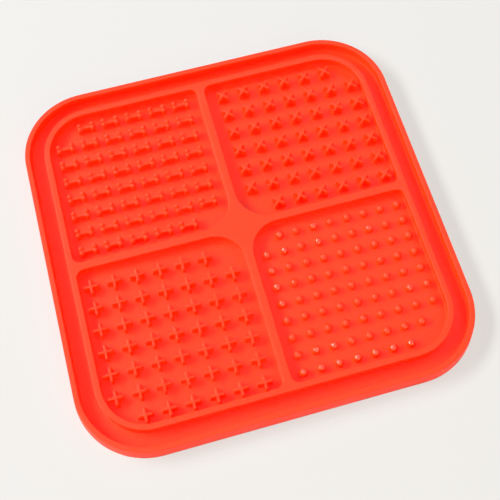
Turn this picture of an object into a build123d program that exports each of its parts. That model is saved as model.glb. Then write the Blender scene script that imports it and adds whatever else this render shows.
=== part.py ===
"""Square silicone lick mat: a sheet with a spill lip, a gutter and four wells of licking studs.

Millimetres, +Z up, origin at the middle of the underside. +Y points to the back of the mat.
"""
import os
from math import atan2, degrees, hypot

from build123d import *

# Sheet and outer lip, whose outer wall leans in from the underside to the top
MAT_SIDE = 200.0
MAT_CORNER_RADIUS = 36.0
WALL_LEAN = 1.0
SHEET_THICKNESS = 3.0
LIP_WIDTH = 2.7
LIP_HEIGHT = 5.3
EDGE_ROUND = 0.35

# Gutter, well frame and the cross of ribs between the wells
GUTTER_WIDTH = 7.6
FRAME_WIDTH = 3.0
FRAME_HEIGHT = 5.7
RIB_WIDTH = 4.0
WELL_FLOOR_RISE = 0.9
RIB_ROOT_RADIUS = 4.3
HUB_RADIUS = 16.0

# Fin studs, X and plus: sizes at the foot, and how far each side leans in to the top
FIN_LENGTH = 7.8
FIN_THICKNESS = 1.8
FIN_HEIGHT = 4.4
FIN_LEAN = 0.3

# Dome studs
DOME_DIAMETER = 4.0
DOME_HEIGHT = 3.6

# Bone studs
BONE_LENGTH = 9.6
BONE_KNOB_DIAMETER = 2.7
BONE_KNOB_HEIGHT = 4.2
BONE_KNOB_SPACING = 2.6
BONE_BAR_WIDTH = 2.0
BONE_BAR_HEIGHT = 3.0

# Stud fields, each along X and along Y: how many studs, and the gaps from the end studs to the rib
# and to the frame. The studs share out what is left.
BONE_COUNT = (6, 8)
BONE_RIB_GAP = (5.4, 4.1)
BONE_FRAME_GAP = (3.7, 3.9)
X_COUNT = (7, 7)
X_RIB_GAP = (5.7, 3.4)
X_FRAME_GAP = (2.2, 4.5)
PLUS_COUNT = (7, 7)
PLUS_RIB_GAP = (4.6, 5.7)
PLUS_FRAME_GAP = (2.0, 0.9)
DOME_COUNT = (9, 9)
DOME_RIB_GAP = (4.6, 4.9)
DOME_FRAME_GAP = (3.1, 2.8)

# Least gap between two studs, and from a stud to a rounded corner of its well
STUD_LEAST_GAP = 0.4
STUD_CORNER_GAP = 0.25

# Worked out from the sizes above
LIP_TOP = SHEET_THICKNESS + LIP_HEIGHT
LIP_SIDE = MAT_SIDE - 2 * (WALL_LEAN + LIP_WIDTH)
LIP_INNER_RADIUS = MAT_CORNER_RADIUS - WALL_LEAN - LIP_WIDTH
FRAME_SIDE = LIP_SIDE - 2 * GUTTER_WIDTH
FRAME_CORNER_RADIUS = LIP_INNER_RADIUS - GUTTER_WIDTH
WELL_CORNER_RADIUS = FRAME_CORNER_RADIUS - FRAME_WIDTH
WELL_NEAR = RIB_WIDTH / 2
WELL_FAR = FRAME_SIDE / 2 - FRAME_WIDTH
WELL_SIDE = WELL_FAR - WELL_NEAR
WELL_MIDDLE = (WELL_FAR + WELL_NEAR) / 2
HUB_REACH = WELL_NEAR + HUB_RADIUS
RIB_END = WELL_FAR - RIB_ROOT_RADIUS
FLOOR_TOP = SHEET_THICKNESS + WELL_FLOOR_RISE


def raised(outline, bottom, height):
    """Stand a flat outline up as a solid with its underside at the given level."""
    return Pos(0, 0, bottom) * extrude(outline, height)


def round_top(solid):
    """Round the upper edges of a raised wall."""
    return fillet(solid.edges().group_by(Axis.Z)[-1], EDGE_ROUND)


def well_outline():
    """One well seen from above, in the back right quarter of the mat."""
    outline = Pos(WELL_MIDDLE, WELL_MIDDLE) * Rectangle(WELL_SIDE, WELL_SIDE)
    corner_radii = {
        (WELL_NEAR, WELL_NEAR): HUB_RADIUS,
        (WELL_NEAR, WELL_FAR): RIB_ROOT_RADIUS,
        (WELL_FAR, WELL_NEAR): RIB_ROOT_RADIUS,
        (WELL_FAR, WELL_FAR): WELL_CORNER_RADIUS,
    }
    for point, radius in corner_radii.items():
        corner = outline.vertices().sort_by_distance(point)[0]
        outline = fillet(corner, radius)
    return outline


def mirrored(outline, side_x, side_y):
    """Move an outline from the back right quarter to another quarter of the mat."""
    if side_x < 0:
        outline = mirror(outline, Plane.YZ)
    if side_y < 0:
        outline = mirror(outline, Plane.XZ)
    return outline


def leaning_block():
    """The whole mat's outside as one block, up to the top of the lip."""
    outline = RectangleRounded(MAT_SIDE, MAT_SIDE, MAT_CORNER_RADIUS)
    return extrude(outline, LIP_TOP, taper=degrees(atan2(WALL_LEAN, LIP_TOP)))


def base_sheet():
    return split(leaning_block(), Plane.XY.offset(SHEET_THICKNESS), Keep.BOTTOM)


def rim_lip():
    wall = split(leaning_block(), Plane.XY.offset(SHEET_THICKNESS), Keep.TOP)
    inside = RectangleRounded(LIP_SIDE, LIP_SIDE, LIP_INNER_RADIUS)
    return round_top(wall - raised(inside, SHEET_THICKNESS, LIP_HEIGHT))


def partition():
    """The frame and the cross in one, before they are divided."""
    outline = RectangleRounded(FRAME_SIDE, FRAME_SIDE, FRAME_CORNER_RADIUS)
    for side_x in (-1, 1):
        for side_y in (-1, 1):
            outline -= mirrored(well_outline(), side_x, side_y)
    return round_top(raised(outline, SHEET_THICKNESS, FRAME_HEIGHT))


def upright_box(low, high):
    """A block from the sheet to the top of the frame, between two corners seen from above."""
    size_x, size_y = high[0] - low[0], high[1] - low[1]
    middle = ((low[0] + high[0]) / 2, (low[1] + high[1]) / 2)
    return raised(Pos(*middle) * Rectangle(size_x, size_y), SHEET_THICKNESS, FRAME_HEIGHT)


def divide(wall):
    """Divide the frame and cross into the frame, the hub and the four straight ribs."""
    hub_block = upright_box((-HUB_REACH, -HUB_REACH), (HUB_REACH, HUB_REACH))
    cross_block = upright_box((-RIB_END, -HUB_REACH), (RIB_END, HUB_REACH))
    cross_block += upright_box((-HUB_REACH, -RIB_END), (HUB_REACH, RIB_END))
    half = RIB_WIDTH / 2
    rib_blocks = {
        "divider_rib_left": upright_box((-RIB_END, -half), (-HUB_REACH, half)),
        "divider_rib_right": upright_box((HUB_REACH, -half), (RIB_END, half)),
        "divider_rib_front": upright_box((-half, -RIB_END), (half, -HUB_REACH)),
        "divider_rib_back": upright_box((-half, HUB_REACH), (half, RIB_END)),
    }
    pieces = {"well_frame": wall - cross_block, "divider_hub": wall & hub_block}
    for name, block in rib_blocks.items():
        pieces[name] = wall & block
    return pieces


def fin_stud(turn):
    """Two crossed upright fins that thin towards the top, turned about the stud's axis."""
    blade = Rectangle(FIN_LENGTH, FIN_THICKNESS)
    outline = blade + Rot(0, 0, 90) * blade
    fins = extrude(outline, FIN_HEIGHT, taper=degrees(atan2(FIN_LEAN, FIN_HEIGHT)))
    return Rot(0, 0, turn) * Pos(0, 0, FLOOR_TOP) * fins


def knob(diameter, height):
    """A round post with a half-ball top."""
    radius = diameter / 2
    stem = height - radius
    standing = (Align.CENTER, Align.CENTER, Align.MIN)
    post = Pos(0, 0, FLOOR_TOP) * Cylinder(radius, stem, align=standing)
    return post + Pos(0, 0, FLOOR_TOP + stem) * Sphere(radius, arc_size1=0, align=standing)


def dome_stud():
    return knob(DOME_DIAMETER, DOME_HEIGHT)


def bone_stud():
    """A dog-bone stud: two knobs at each end, joined by a lower bar with a round top."""
    reach = (BONE_LENGTH - BONE_KNOB_DIAMETER) / 2
    bar_radius = BONE_BAR_WIDTH / 2
    wall_height = BONE_BAR_HEIGHT - bar_radius
    bar_section = Pos(0, wall_height / 2) * Rectangle(BONE_BAR_WIDTH, wall_height)
    bar_section += Pos(0, wall_height) * Circle(bar_radius)
    bar_plane = Plane(origin=(-reach, 0, FLOOR_TOP), x_dir=(0, 1, 0), z_dir=(1, 0, 0))
    bone = extrude(bar_plane * bar_section, 2 * reach)
    for end in (-reach, reach):
        for side in (-BONE_KNOB_SPACING / 2, BONE_KNOB_SPACING / 2):
            bone += Pos(end, side) * knob(BONE_KNOB_DIAMETER, BONE_KNOB_HEIGHT)
    return bone


def places_along(count, rib_gap, frame_gap, size):
    """Where the studs of a field stand along one way, from the rib outwards: as many as have room."""
    room = WELL_SIDE - rib_gap - frame_gap - size
    spaces = min(count - 1, int(room / (size + STUD_LEAST_GAP)))
    start = WELL_NEAR + rib_gap + size / 2
    return [start + step * room / spaces for step in range(spaces + 1)]


def inside_corner(past_x, past_y, reach, radius):
    """Whether a stud stays inside a rounded corner, from how far it lies past the middle of its arc."""
    if min(past_x, past_y) <= 0:
        return True
    return hypot(past_x, past_y) + reach + STUD_CORNER_GAP <= radius


def stud_fits(x, y, reach):
    """Whether a stud clears both the outer corner of its well and the hollow side of the hub."""
    outer_arc = WELL_FAR - WELL_CORNER_RADIUS
    clears_outside = inside_corner(x - outer_arc, y - outer_arc, reach, WELL_CORNER_RADIUS)
    return clears_outside and inside_corner(HUB_REACH - x, HUB_REACH - y, reach, HUB_RADIUS)


def stud_rows(stud, side, size, count, rib_gap, frame_gap, outer_step):
    """Rows of studs in one well, back row first.

    The stud nearest the middle of the mat is left out. So is a triangle of studs at the outer corner,
    with outer_step studs along its edge, and any other stud that a rounded corner leaves no room for.
    """
    places_x, places_y = map(places_along, count, rib_gap, frame_gap, size)
    lines = []
    for row, y in enumerate(places_y):
        line = []
        for column, x in enumerate(places_x):
            from_outside = (len(places_x) - 1 - column) + (len(places_y) - 1 - row)
            left_out = column + row == 0 or from_outside < outer_step
            if not left_out and stud_fits(x, y, max(size) / 2):
                line.append(Pos(side[0] * x, side[1] * y) * stud)
        lines.append(line)
    return lines if side[1] < 0 else lines[::-1]


def all_stud_rows():
    """Every row of studs by name."""
    x_box = (FIN_LENGTH + FIN_THICKNESS) / 2 ** 0.5
    bone_width = BONE_KNOB_SPACING + BONE_KNOB_DIAMETER
    fields = {
        "bone_row": (bone_stud(), (-1, 1), (BONE_LENGTH, bone_width),
                     BONE_COUNT, BONE_RIB_GAP, BONE_FRAME_GAP, 1),
        "x_row": (fin_stud(45), (1, 1), (x_box, x_box), X_COUNT, X_RIB_GAP, X_FRAME_GAP, 1),
        "plus_row": (fin_stud(0), (-1, -1), (FIN_LENGTH, FIN_LENGTH),
                     PLUS_COUNT, PLUS_RIB_GAP, PLUS_FRAME_GAP, 1),
        "dome_row": (dome_stud(), (1, -1), (DOME_DIAMETER, DOME_DIAMETER),
                     DOME_COUNT, DOME_RIB_GAP, DOME_FRAME_GAP, 2),
    }
    rows = {}
    for name, field in fields.items():
        for number, line in enumerate(stud_rows(*field), start=1):
            rows[f"{name}_{number}"] = Compound(children=line)
    return rows


def well_floors():
    """The raised floor of each well."""
    quarters = {"bone": (-1, 1), "x": (1, 1), "plus": (-1, -1), "dome": (1, -1)}
    floors = {}
    for name, side in quarters.items():
        outline = mirrored(well_outline(), *side)
        floors[f"{name}_well_floor"] = raised(outline, SHEET_THICKNESS, WELL_FLOOR_RISE)
    return floors


pieces = {"base_sheet": base_sheet(), "rim_lip": rim_lip()}
pieces |= divide(partition())
pieces |= well_floors()
pieces |= all_stud_rows()

os.makedirs("parts", exist_ok=True)
for node, solid in pieces.items():
    export_step(solid, f"parts/{node}.step")
print(len(pieces), "nodes written")
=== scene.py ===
"""Look of a square silicone lick mat: one moulding with four wells, and rows of licking studs in them.

Metres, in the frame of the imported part: origin at the middle of the underside, +Z up, +Y to the back.
The mat's own mesh is drawn in millimetres and brought to metres once it is whole.
"""
from math import cos, pi, sin

import bmesh
import bpy
from mathutils import Matrix, Vector


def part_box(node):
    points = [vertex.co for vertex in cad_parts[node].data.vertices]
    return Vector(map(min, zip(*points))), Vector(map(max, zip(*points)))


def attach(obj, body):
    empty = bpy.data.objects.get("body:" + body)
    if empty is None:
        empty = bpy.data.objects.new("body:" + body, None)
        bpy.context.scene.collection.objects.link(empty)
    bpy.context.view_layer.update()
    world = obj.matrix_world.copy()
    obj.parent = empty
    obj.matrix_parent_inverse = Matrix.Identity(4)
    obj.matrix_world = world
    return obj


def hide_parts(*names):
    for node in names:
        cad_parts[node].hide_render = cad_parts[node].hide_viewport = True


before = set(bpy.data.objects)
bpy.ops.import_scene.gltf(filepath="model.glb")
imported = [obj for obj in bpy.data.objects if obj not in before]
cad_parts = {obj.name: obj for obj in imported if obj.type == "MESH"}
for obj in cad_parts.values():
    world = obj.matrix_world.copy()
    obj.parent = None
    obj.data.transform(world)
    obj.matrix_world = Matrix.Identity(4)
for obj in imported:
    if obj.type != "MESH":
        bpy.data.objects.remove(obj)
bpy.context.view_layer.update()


# Mat body
# The sheet, its lip, the gutter and the frame and cross round the wells are one silicone moulding. It is
# drawn as rings that step inwards, up and down, with every edge round as the mould's cutters left it.
MM = 0.001
MAT_SIDE = 200.0
MAT_CORNER_RADIUS = 36.0
CORNER_STEPS = 20
EDGE_ROUND = 0.35
FOOT_ROUND = 0.3
ROUND_STEPS = 3
WALL_LEAN = 1.0
INNER_LEAN = 0.1
LIP_TOP = 8.3
LIP_WIDTH = 2.7
GUTTER_FLOOR = 3.0
GUTTER_WIDTH = 7.6
FRAME_TOP = 8.7
WELL_FLOOR = 3.9
WELL_NEAR = 2.0
WELL_FAR = 85.7
WELL_OUTER_RADIUS = 21.7
HUB_RADIUS = 16.0
RIB_ROOT_RADIUS = 4.3
CLOSE = 0.01
QUARTERS = [(-1, -1), (-1, 1), (1, -1), (1, 1)]


def start_mesh():
    """Leave edit mode with nothing selected, ready for a new primitive."""
    if bpy.context.object and bpy.context.object.mode == "EDIT":
        bpy.ops.object.mode_set(mode="OBJECT")
    bpy.ops.object.select_all(action="DESELECT")


def pick_parts(kind, test):
    """In edit mode, select only the vertices, edges or faces that pass a test."""
    bpy.ops.mesh.select_mode(type={"verts": "VERT", "edges": "EDGE", "faces": "FACE"}[kind])
    bpy.ops.mesh.select_all(action="DESELECT")
    shape = bmesh.from_edit_mesh(bpy.context.object.data)
    for part in getattr(shape, kind):
        part.select_set(bool(test(part)))
    shape.select_flush_mode()
    bmesh.update_edit_mesh(bpy.context.object.data)


def pick_all_faces():
    bpy.ops.mesh.select_mode(type="FACE")
    bpy.ops.mesh.select_all(action="SELECT")


def round_corner(point, radius):
    """Round one corner of a flat outline."""
    corner = Vector(point)
    pick_parts("verts", lambda vert: (vert.co.xy - corner).length < CLOSE)
    bpy.ops.mesh.bevel(affect="VERTICES", offset_type="ABSOLUTE", offset=radius, segments=CORNER_STEPS)


def quarter_round(radius, from_wall, rise):
    """Steps inwards and up (1) or down (-1) round a quarter circle, from a wall to a flat or back."""
    turns = [pi / 2 * step / ROUND_STEPS for step in range(ROUND_STEPS + 1)]
    path = [(1 - cos(turn), sin(turn)) if from_wall else (sin(turn), 1 - cos(turn)) for turn in turns]
    return [(radius * (b[0] - a[0]), rise * radius * (b[1] - a[1])) for a, b in zip(path, path[1:])]


def inset_rings(rings):
    """From the selected face, add ring after ring: how far inwards, and how far out of the face."""
    for width, rise in rings:
        bpy.ops.mesh.inset(thickness=width, depth=rise, use_even_offset=True)


def edge_middle(edge):
    return (edge.verts[0].co + edge.verts[1].co) / 2


def at_level(edge, level):
    return all(abs(vert.co.z - level) < CLOSE for vert in edge.verts)


def fill_flat(level, side_x=0, side_y=0):
    """Close the flat between the open rims at one level, all over or in one quarter of the mat."""
    pick_parts("edges", lambda edge: edge.is_boundary and at_level(edge, level)
               and edge_middle(edge).x * side_x >= 0 and edge_middle(edge).y * side_y >= 0)
    bpy.ops.mesh.fill(use_beauty=True)


def make_well(side_x, side_y):
    """The wall of one well, from the frame's top to the round at its foot, open above and below."""
    start_mesh()
    near = WELL_NEAR - EDGE_ROUND
    far = WELL_FAR + EDGE_ROUND
    middle = (near + far) / 2
    bpy.ops.mesh.primitive_plane_add(size=far - near, location=(side_x * middle, side_y * middle, FRAME_TOP))
    well = bpy.context.object
    bpy.ops.object.transform_apply(location=True)
    bpy.ops.object.mode_set(mode="EDIT")
    corner_radii = {
        (near, near): HUB_RADIUS,
        (near, far): RIB_ROOT_RADIUS,
        (far, near): RIB_ROOT_RADIUS,
        (far, far): WELL_OUTER_RADIUS,
    }
    for (x, y), radius in corner_radii.items():
        round_corner((side_x * x, side_y * y), radius + EDGE_ROUND)
    pick_all_faces()
    inset_rings([
        *quarter_round(EDGE_ROUND, False, -1),
        (0.0, WELL_FLOOR + FOOT_ROUND - FRAME_TOP + EDGE_ROUND),
        *quarter_round(FOOT_ROUND, True, -1),
    ])
    bpy.ops.mesh.delete(type="ONLY_FACE")
    bpy.ops.object.mode_set(mode="OBJECT")
    return well


def join_to(piece, others):
    """Make other meshes part of one piece."""
    start_mesh()
    for other in [piece, *others]:
        other.select_set(True)
    bpy.context.view_layer.objects.active = piece
    bpy.ops.object.join()


wells = [make_well(side_x, side_y) for side_x, side_y in QUARTERS]

start_mesh()
bpy.ops.mesh.primitive_plane_add(size=MAT_SIDE, location=(0, 0, EDGE_ROUND))
mat = bpy.context.object
mat.name = "lick_mat"
bpy.ops.object.transform_apply(location=True)
bpy.ops.object.mode_set(mode="EDIT")
for side_x, side_y in QUARTERS:
    round_corner((side_x * MAT_SIDE / 2, side_y * MAT_SIDE / 2), MAT_CORNER_RADIUS)
pick_all_faces()
inset_rings([
    (WALL_LEAN, LIP_TOP - 2 * EDGE_ROUND),
    *quarter_round(EDGE_ROUND, True, 1),
    (LIP_WIDTH - 2 * EDGE_ROUND, 0.0),
    *quarter_round(EDGE_ROUND, False, -1),
    (INNER_LEAN, GUTTER_FLOOR + FOOT_ROUND - LIP_TOP + EDGE_ROUND),
    *quarter_round(FOOT_ROUND, True, -1),
    (GUTTER_WIDTH - 2 * INNER_LEAN - 2 * FOOT_ROUND, 0.0),
    *quarter_round(FOOT_ROUND, False, 1),
    (INNER_LEAN, FRAME_TOP - GUTTER_FLOOR - FOOT_ROUND - EDGE_ROUND),
    *quarter_round(EDGE_ROUND, True, 1),
])
bpy.ops.mesh.delete(type="ONLY_FACE")
pick_parts("edges", lambda edge: edge.is_boundary and at_level(edge, EDGE_ROUND))
bpy.ops.mesh.edge_face_add()
inset_rings(quarter_round(EDGE_ROUND, True, 1))
join_to(mat, wells)
bpy.ops.object.mode_set(mode="EDIT")
fill_flat(FRAME_TOP)
bpy.ops.object.mode_set(mode="OBJECT")


# Dome studs
# Round buttons moulded on the floor of the front right well, each a half ball on a short stem. They stand
# where the rows of slightly narrower solid domes do.
DOME_RADIUS = 2.2
DOME_SOLID_WIDTH = 4.0
DOME_HEIGHT = 3.6
DOME_PITCH = 9.0
DOME_SIDES = 12
DOME_RINGS = 4


def half_ball(radius, height, sides, rings, place=(0, 0), turn=0.0):
    """A post with a half-ball top, open at its foot."""
    start_mesh()
    stem = height - radius
    bpy.ops.mesh.primitive_uv_sphere_add(
        segments=sides, ring_count=2 * rings, radius=radius, location=(*place, stem), rotation=(0, 0, turn))
    ball = bpy.context.object
    bpy.ops.object.transform_apply(location=True, rotation=True)
    bpy.ops.object.mode_set(mode="EDIT")
    pick_parts("faces", lambda face: face.calc_center_median().z < stem)
    bpy.ops.mesh.delete(type="FACE")
    pick_parts("edges", lambda edge: edge.is_boundary)
    bpy.ops.mesh.extrude_edges_move(TRANSFORM_OT_translate={"value": (0, 0, -stem)})
    bpy.ops.object.mode_set(mode="OBJECT")
    return ball


def apply_modifier(piece, kind, **settings):
    bpy.context.view_layer.objects.active = piece
    modifier = piece.modifiers.new(kind.lower(), kind)
    for name, value in settings.items():
        setattr(modifier, name, value)
    bpy.ops.object.modifier_apply(modifier=modifier.name)


def mould_rows(stud, kind, length, pitch):
    """Make one stud part of the mat along each row of its well, where the solids of that row stand."""
    rows = []
    start_mesh()
    for node in sorted(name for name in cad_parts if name.startswith(f"{kind}_row_")):
        low, high = (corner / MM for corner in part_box(node))
        span = high.x - low.x - length
        spaces = round(span / pitch)
        row = stud.copy()
        row.data = stud.data.copy()
        bpy.context.collection.objects.link(row)
        row.select_set(True)
        apply_modifier(row, "ARRAY", count=spaces + 1, use_relative_offset=False,
                       use_constant_offset=True, constant_offset_displace=(span / spaces, 0, 0))
        row.location = (low.x + length / 2, (low.y + high.y) / 2, WELL_FLOOR)
        rows.append(row)
    bpy.ops.object.transform_apply(location=True)
    join_to(mat, rows)
    bpy.data.objects.remove(stud)


dome = half_ball(DOME_RADIUS, DOME_HEIGHT, DOME_SIDES, DOME_RINGS)
mould_rows(dome, "dome", DOME_SOLID_WIDTH, DOME_PITCH)


# X and plus studs
# Two crossed upright fins on the floors of the back right and front left wells. They thin towards the
# top so that they leave the mould, and their ends and top edges are rounded.
FIN_LENGTH = 7.8
FIN_THICKNESS = 1.8
FIN_HEIGHT = 4.4
FIN_LEAN = 0.3
FIN_END_ROUND = 0.45
FIN_ROUND_STEPS = 2
FIN_PITCH = 11.55


def fin_cross():
    """Two crossed fins, with one along X, open at their foot."""
    start_mesh()
    bpy.ops.mesh.primitive_plane_add(size=FIN_THICKNESS)
    fins = bpy.context.object
    bpy.ops.object.mode_set(mode="EDIT")
    reach = (FIN_LENGTH - FIN_THICKNESS) / 2
    for way in (Vector((1, 0, 0)), Vector((-1, 0, 0)), Vector((0, 1, 0)), Vector((0, -1, 0))):
        side = way * FIN_THICKNESS / 2
        pick_parts("edges", lambda edge: (edge_middle(edge) - side).length < CLOSE)
        bpy.ops.mesh.extrude_edges_move(TRANSFORM_OT_translate={"value": way * reach})
    pick_all_faces()
    inset_rings([(FIN_LEAN, FIN_HEIGHT)])
    pick_parts("edges", lambda edge: edge.is_boundary)
    bpy.ops.mesh.edge_face_add()
    pick_parts("edges", lambda edge: abs(edge.verts[0].co.z - edge.verts[1].co.z) > FIN_HEIGHT / 2
               and max(max(abs(vert.co.x), abs(vert.co.y)) for vert in edge.verts) > reach)
    bpy.ops.mesh.bevel(offset_type="OFFSET", offset=FIN_END_ROUND, segments=FIN_ROUND_STEPS, profile=0.5)
    pick_parts("edges", lambda edge: at_level(edge, FIN_HEIGHT) and edge.calc_face_angle() > pi / 4)
    bpy.ops.mesh.bevel(offset_type="OFFSET", offset=EDGE_ROUND, segments=FIN_ROUND_STEPS, profile=0.5,
                       clamp_overlap=False)
    pick_parts("faces", lambda face: face.calc_center_median().z < CLOSE)
    bpy.ops.mesh.delete(type="ONLY_FACE")
    bpy.ops.object.mode_set(mode="OBJECT")
    return fins


plus_fins = fin_cross()
mould_rows(plus_fins, "plus", FIN_LENGTH, FIN_PITCH)

x_fins = fin_cross()
x_fins.rotation_euler.z = pi / 4
bpy.ops.object.transform_apply(rotation=True)
mould_rows(x_fins, "x", (FIN_LENGTH + FIN_THICKNESS) / 2 ** 0.5, FIN_PITCH)


# Bone studs
# Small dog bones on the floor of the back left well: two round knobs at each end, joined by a lower bar
# with sloped shoulders. One knob is drawn and mirrored, and the bar is drawn out of its inner side.
BONE_LENGTH = 9.6
BONE_PITCH = 13.0
KNOB_HEIGHT = 4.2
KNOB_SPACING = 2.6
KNOB_SIDES = 12
KNOB_RINGS = 3
BAR_FACING = -0.4
BAR_SHOULDER = 2.65
BAR_NARROWING = 0.05

knob_turn = pi / KNOB_SIDES
knob_radius = KNOB_SPACING / 2 / cos(knob_turn)
knob_place = (BONE_LENGTH / 2 - knob_radius, KNOB_SPACING / 2)
knob_stem = KNOB_HEIGHT - knob_radius
bone = half_ball(knob_radius, KNOB_HEIGHT, KNOB_SIDES, KNOB_RINGS, knob_place, knob_turn)
bpy.ops.object.mode_set(mode="EDIT")
pick_parts("faces", lambda face: all(abs(vert.co.y) < CLOSE for vert in face.verts))
bpy.ops.mesh.delete(type="FACE")
pick_parts("faces", lambda face: face.calc_center_median().z < knob_stem
           and face.normal.x < BAR_FACING and face.normal.y < BAR_FACING)
bpy.ops.mesh.extrude_region_move()
bpy.ops.transform.resize(value=(0, 1, 1), center_override=(0, 0, 0))
for axis in range(3):
    pick_parts("faces", lambda face: all(abs(vert.co[axis]) < CLOSE for vert in face.verts))
    bpy.ops.mesh.delete(type="FACE")
pick_parts("verts", lambda vert: vert.co.x < CLOSE and vert.co.z > CLOSE and vert.co.y > KNOB_SPACING / 4)
bpy.ops.transform.translate(value=(0, -BAR_NARROWING, BAR_SHOULDER - knob_stem))
bpy.ops.object.mode_set(mode="OBJECT")
apply_modifier(bone, "MIRROR", use_axis=(True, True, False), use_mirror_merge=True, merge_threshold=CLOSE)
mould_rows(bone, "bone", BONE_LENGTH, BONE_PITCH)


# Whole mat
# Body and studs come out of the mould as one piece of orange-red silicone, with the well floors between
# them, so light that enters a stud leaves through the floor beside it. The mould leaves it satin, with the
# front row of domes and a few others glossier on top, and a few pale specks are scattered over it.
MERGE_DISTANCE = 0.002
SMOOTH_ANGLE = 0.85
FLAT_FACE_WEIGHT = 100
RED = (1.0, 0.051, 0.002, 1.0)
DEEP_RED = (1.0, 0.046, 0.002, 1.0)
TONE_SCALE = 45.0
PALE_SPECK = (1.0, 0.30, 0.22, 1.0)
PALE_SPECK_COVER = 0.6
SPECK_SCALE = 110.0
SPECK_SIZE = 0.05
SPECK_RARITY = 0.93
GLOSS_SCALE = 75.0
GLOSS_RARITY = 0.65
GLOSS_LEVEL = 0.0062
GLOSS_IOR = 1.48
GLOSS_ROUGHNESS = 0.08
DOME_FIELD_NEAR = 0.004
DOME_FIELD_FAR = 0.083
DOME_FIELD_HUB = 0.018
DOME_FIELD_CORNER = 0.150
FRONT_DOME_ROW = -0.073
SATIN_ROUGHNESS = 0.42
PATCH_ROUGHNESS = 0.14
PATCH_SCALE = 60.0
POLISH = 0.25
GRAIN_SCALE = 2600.0
GRAIN_STRENGTH = 0.012
GRAIN_HEIGHT = 0.0002
SILICONE_IOR = 1.41
GLOW_DEPTH = 0.014
GLOW_REACH = (1.0, 0.12, 0.02)

start_mesh()
mat.select_set(True)
bpy.context.view_layer.objects.active = mat
bpy.ops.object.mode_set(mode="EDIT")
for side_x, side_y in QUARTERS:
    fill_flat(WELL_FLOOR, side_x, side_y)
bpy.ops.mesh.select_all(action="SELECT")
bpy.ops.mesh.remove_doubles(threshold=MERGE_DISTANCE)
bpy.ops.mesh.normals_make_consistent(inside=False)
bpy.ops.object.mode_set(mode="OBJECT")
mat.scale = (MM, MM, MM)
bpy.ops.object.transform_apply(scale=True)
bpy.ops.object.shade_smooth_by_angle(angle=SMOOTH_ANGLE)
apply_modifier(mat, "WEIGHTED_NORMAL", weight=FLAT_FACE_WEIGHT, keep_sharp=True)


class Wire:
    """A shader socket that takes part in sums and products written in Python."""

    def __init__(self, tree, socket=None):
        self.tree = tree
        self.socket = socket

    def node(self, kind, settings, sockets, output=0):
        """Add a node: its settings first, then the values or links of its sockets."""
        node = self.tree.nodes.new(kind)
        for name, value in settings.items():
            setattr(node, name, value)
        for name, value in sockets.items():
            if isinstance(value, Wire):
                value.feed(node, name)
            else:
                node.inputs[name].default_value = value
        return Wire(self.tree, node.outputs[output])

    def feed(self, node, name):
        """Link this socket to an input of a node."""
        self.tree.links.new(self.socket, node.inputs[name])

    def beside(self, output):
        """Another output of the node that this socket belongs to."""
        return Wire(self.tree, self.socket.node.outputs[output])

    def math(self, operation, first, second):
        return self.node("ShaderNodeMath", {"operation": operation}, {0: first, 1: second})

    def __add__(self, other):
        return self.math("ADD", self, other)

    __radd__ = __add__

    def __sub__(self, other):
        return self.math("SUBTRACT", self, other)

    def __rsub__(self, other):
        return self.math("SUBTRACT", other, self)

    def __mul__(self, other):
        return self.math("MULTIPLY", self, other)

    __rmul__ = __mul__

    def __lt__(self, other):
        return self.math("LESS_THAN", self, other)

    def __gt__(self, other):
        return self.math("GREATER_THAN", self, other)

    def mix(self, first, second):
        """Blend two colours, with this socket as the factor."""
        settings = {"data_type": "RGBA"}
        return self.node("ShaderNodeMix", settings, {0: self, 6: first, 7: second}, output=2)


def noise(wire, place, scale, detail):
    return wire.node("ShaderNodeTexNoise", {}, {"Vector": place, "Scale": scale, "Detail": detail})


silicone = bpy.data.materials.new("red_silicone")
silicone.use_nodes = True
shader = silicone.node_tree.nodes["Principled BSDF"]
wire = Wire(silicone.node_tree)
place = wire.node("ShaderNodeTexCoord", {}, {}, output="Object")

# Two close reds drift into each other, with pale specks in the middle of a few small cells
cells = wire.node("ShaderNodeTexVoronoi", {}, {"Vector": place, "Scale": SPECK_SCALE}, output="Distance")
cell_draw = wire.node("ShaderNodeSeparateColor", {}, {"Color": cells.beside("Color")})
speck = (cells < SPECK_SIZE) * (cell_draw > SPECK_RARITY)
body_colour = noise(wire, place, TONE_SCALE, detail=3.0).mix(RED, DEEP_RED)
colour = (speck * PALE_SPECK_COVER).mix(body_colour, PALE_SPECK)
colour.feed(shader, "Base Color")

# Glossy dome tops, kept clear of the walls and the round corners of their well
x = wire.node("ShaderNodeSeparateXYZ", {}, {"Vector": place}, output="X")
y = x.beside("Y")
z = x.beside("Z")
from_hub = x - y
in_dome_field = ((x > DOME_FIELD_NEAR) * (x < DOME_FIELD_FAR)
                 * (y < -DOME_FIELD_NEAR) * (y > -DOME_FIELD_FAR)
                 * (from_hub > DOME_FIELD_HUB) * (from_hub < DOME_FIELD_CORNER))
dome_top = in_dome_field * (z > GLOSS_LEVEL)
chosen = ((noise(wire, place, GLOSS_SCALE, detail=0.0) > GLOSS_RARITY) + (y < FRONT_DOME_ROW)) > 0.5
glossy = dome_top * chosen
glossy.feed(shader, "Coat Weight")
shader.inputs["Coat IOR"].default_value = GLOSS_IOR
shader.inputs["Coat Roughness"].default_value = GLOSS_ROUGHNESS

patches = noise(wire, place, PATCH_SCALE, detail=2.0)
roughness = SATIN_ROUGHNESS + patches * PATCH_ROUGHNESS - glossy * POLISH
roughness.feed(shader, "Roughness")

grain = noise(wire, place, GRAIN_SCALE, detail=2.0)
relief = {"Strength": GRAIN_STRENGTH, "Distance": GRAIN_HEIGHT, "Height": grain}
wire.node("ShaderNodeBump", {}, relief).feed(shader, "Normal")

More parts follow.
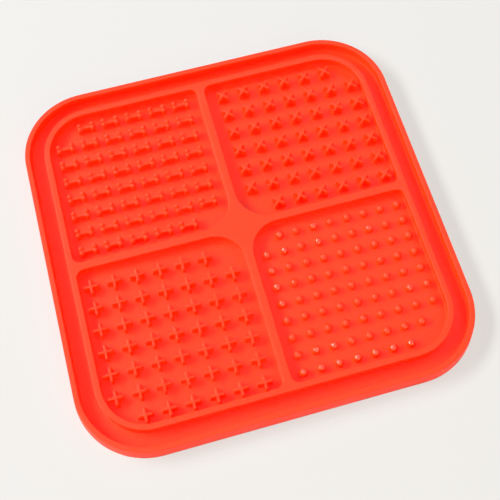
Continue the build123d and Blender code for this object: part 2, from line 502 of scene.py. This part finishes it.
shader.subsurface_method = "BURLEY"
shader.inputs["IOR"].default_value = SILICONE_IOR
shader.inputs["Subsurface Weight"].default_value = 1.0
shader.inputs["Subsurface Radius"].default_value = GLOW_REACH
shader.inputs["Subsurface Scale"].default_value = GLOW_DEPTH

mat.data.materials.append(silicone)
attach(mat, "root")
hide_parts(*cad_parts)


# Floor
# A plain pale sheet that the mat lies on, painted matt. Where it is seen it also glows a little, so that it
# looks as pale as the photograph's without more light on the mat, and still takes the mat's shadow.
FLOOR_SIDE = 6.0
FLOOR_DROP = 0.05 * MM
FLOOR_COLOUR = (0.775, 0.785, 0.79, 1.0)
FLOOR_ROUGHNESS = 0.9
FLOOR_GLOW = 0.68
FLOOR_GLOW_COLOUR = (0.90, 0.90, 0.885, 1.0)


def in_sight(wire):
    """1 for rays of the camera, of gloss and of clear pieces, and 0 for rays that only carry light."""
    rays = wire.node("ShaderNodeLightPath", {}, {}, output="Is Camera Ray")
    return rays + rays.beside("Is Glossy Ray") + rays.beside("Is Transmission Ray")


start_mesh()
bpy.ops.mesh.primitive_plane_add(size=FLOOR_SIDE, location=(0, 0, -FLOOR_DROP))
floor = bpy.context.object
floor.name = "floor"
floor_paint = bpy.data.materials.new("pale_floor")
floor_paint.use_nodes = True
floor_nodes = floor_paint.node_tree.nodes
floor_shader = floor_nodes["Principled BSDF"]
floor_shader.inputs["Base Color"].default_value = FLOOR_COLOUR
floor_shader.inputs["Roughness"].default_value = FLOOR_ROUGHNESS
floor_shader.inputs["Specular IOR Level"].default_value = 0.0
floor_wire = Wire(floor_paint.node_tree)
shaded = Wire(floor_paint.node_tree, floor_shader.outputs["BSDF"])
glow = floor_wire.node("ShaderNodeEmission", {}, {"Color": FLOOR_GLOW_COLOUR, "Strength": 1.0})
glow_share = in_sight(floor_wire) * FLOOR_GLOW
paint = floor_wire.node("ShaderNodeMixShader", {}, {0: glow_share, 1: shaded, 2: glow})
paint.feed(floor_nodes["Material Output"], "Surface")
floor.data.materials.append(floor_paint)


# Light
# A wide soft lamp to the left and behind, a small weak one to the right, a warm one in front, and an
# even room that is dim as a light and pale where it is seen.
ROOM_COLOUR = (1.0, 0.99, 0.97, 1.0)
ROOM_LIGHT = 0.14
ROOM_SEEN = 0.88
LAMP_DISTANCE = 3.0
WHITE = (1.0, 1.0, 1.0)
AMBER = (1.0, 0.6, 0.2)

room = bpy.data.worlds.new("room")
bpy.context.scene.world = room
room.use_nodes = True
room_shader = room.node_tree.nodes["Background"]
room_shader.inputs["Color"].default_value = ROOM_COLOUR
room_level = ROOM_LIGHT + in_sight(Wire(room.node_tree)) * (ROOM_SEEN - ROOM_LIGHT)
room_level.feed(room_shader, "Strength")


def soft_lamp(name, way, width, height, power, colour):
    """A soft oval lamp, aimed at the mat from one way."""
    data = bpy.data.lights.new(name, "AREA")
    data.shape = "ELLIPSE"
    data.size = width
    data.size_y = height
    data.energy = power
    data.color = colour
    lamp = bpy.data.objects.new(name, data)
    bpy.context.scene.collection.objects.link(lamp)
    way = Vector(way).normalized()
    lamp.location = way * LAMP_DISTANCE
    lamp.rotation_euler = way.to_track_quat("Z", "Y").to_euler()


soft_lamp("key_lamp", (-1.03, 0.44, 0.78), width=2.6, height=0.6, power=124.0, colour=WHITE)
soft_lamp("side_lamp", (0.75, 0.6, 1.0), width=0.25, height=0.25, power=6.0, colour=WHITE)
soft_lamp("front_lamp", (0.15, -0.85, 0.5), width=2.0, height=2.0, power=40.0, colour=AMBER)


# Camera
# Above the front left of the mat, looking down at it as in the photograph. Its place, its turn and its lens
# were fitted to the straight edges of the lip and the well frame.
CAMERA_PLACE = (-0.043545, -0.180327, 0.410329)
CAMERA_LOOK = Vector((0.101388, 0.379894, -0.919457))
CAMERA_UP = Vector((0.249270, 0.885037, 0.393160))
LENS = 62.952
SENSOR_WIDTH = 36.0

camera_data = bpy.data.cameras.new("camera")
camera_data.sensor_fit = "HORIZONTAL"
camera_data.sensor_width = SENSOR_WIDTH
camera_data.lens = LENS
camera = bpy.data.objects.new("camera", camera_data)
bpy.context.scene.collection.objects.link(camera)
turn = Matrix((CAMERA_LOOK.cross(CAMERA_UP), CAMERA_UP, -CAMERA_LOOK)).transposed()
camera.matrix_world = Matrix.Translation(CAMERA_PLACE) @ turn.to_4x4()
bpy.context.scene.camera = camera
bpy.context.scene.view_settings.view_transform = "Standard"
